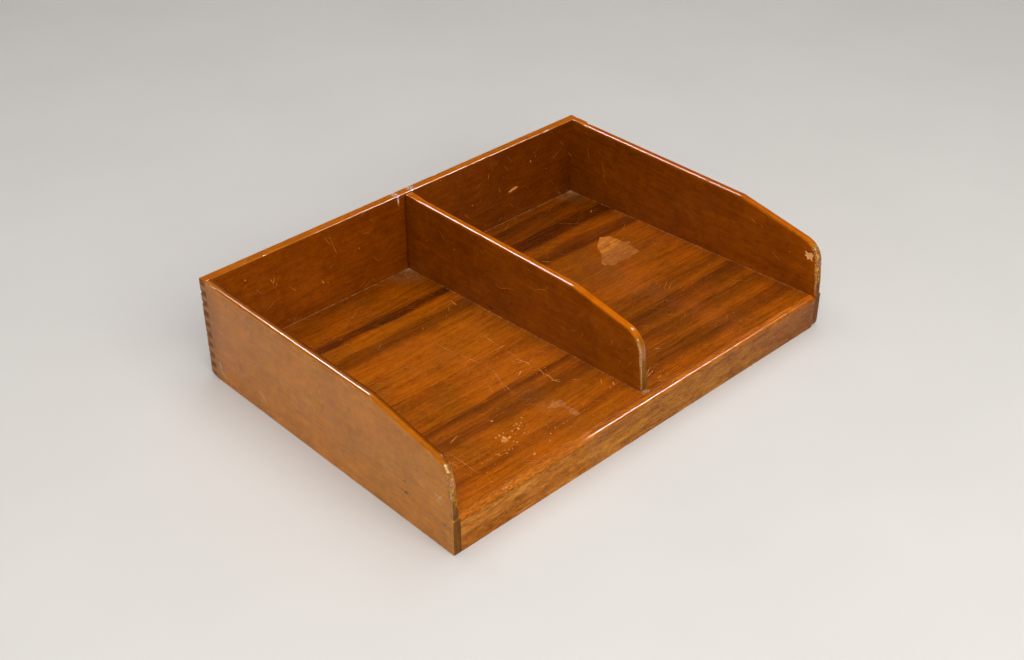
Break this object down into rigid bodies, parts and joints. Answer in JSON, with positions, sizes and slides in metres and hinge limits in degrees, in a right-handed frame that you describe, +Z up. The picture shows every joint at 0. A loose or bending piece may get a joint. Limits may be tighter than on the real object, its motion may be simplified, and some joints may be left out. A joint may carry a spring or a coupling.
{
  "type": "letter tray",
  "caption": "Two-compartment open-fronted timber desk tray for letters and foolscap folders, with comb-jointed corners, a housed divider and a floor that falls to the back.",
  "frame": {"origin": "centre of the base's outline, on the surface the tray stands on", "axes": "+X to the right along the front rail, +Y from the open front to the back board, +Z up"},
  "size_m": [0.51, 0.365, 0.114],
  "materials": {
    "stained_timber": "dark reddish-brown stain under worn gloss varnish, paler at the rubbed arrises",
    "rail_timber": "yellow-brown stained timber, grain along the rail, worn gloss varnish",
    "floor_timber": "orange-brown stained veneer with dark streaks, scratched gloss varnish",
    "raw_timber": "unfinished softwood, sawn and planed",
    "screw_brass": "dull brass, slotted",
    "pin_steel": "dull steel wire",
    "wood_filler": "dark stopping, flush with the surface"
  },
  "bodies": {
    "root": {"left_side": "stained_timber", "right_side": "stained_timber", "back_board": "stained_timber", "centre_divider": "stained_timber", "front_rail": "rail_timber", "floor_panel": "floor_timber", "centre_bearer": "raw_timber", "left_glue_blocks": "raw_timber", "right_glue_blocks": "raw_timber", "front_glue_blocks": "raw_timber", "rear_glue_blocks": "raw_timber", "divider_screws": "screw_brass", "divider_pins": "pin_steel", "left_rail_pins": "pin_steel", "right_rail_pins": "pin_steel", "left_rail_plugs": "wood_filler", "right_rail_plugs": "wood_filler", "divider_pin_plugs": "wood_filler"}
  },
  "joints": []
}
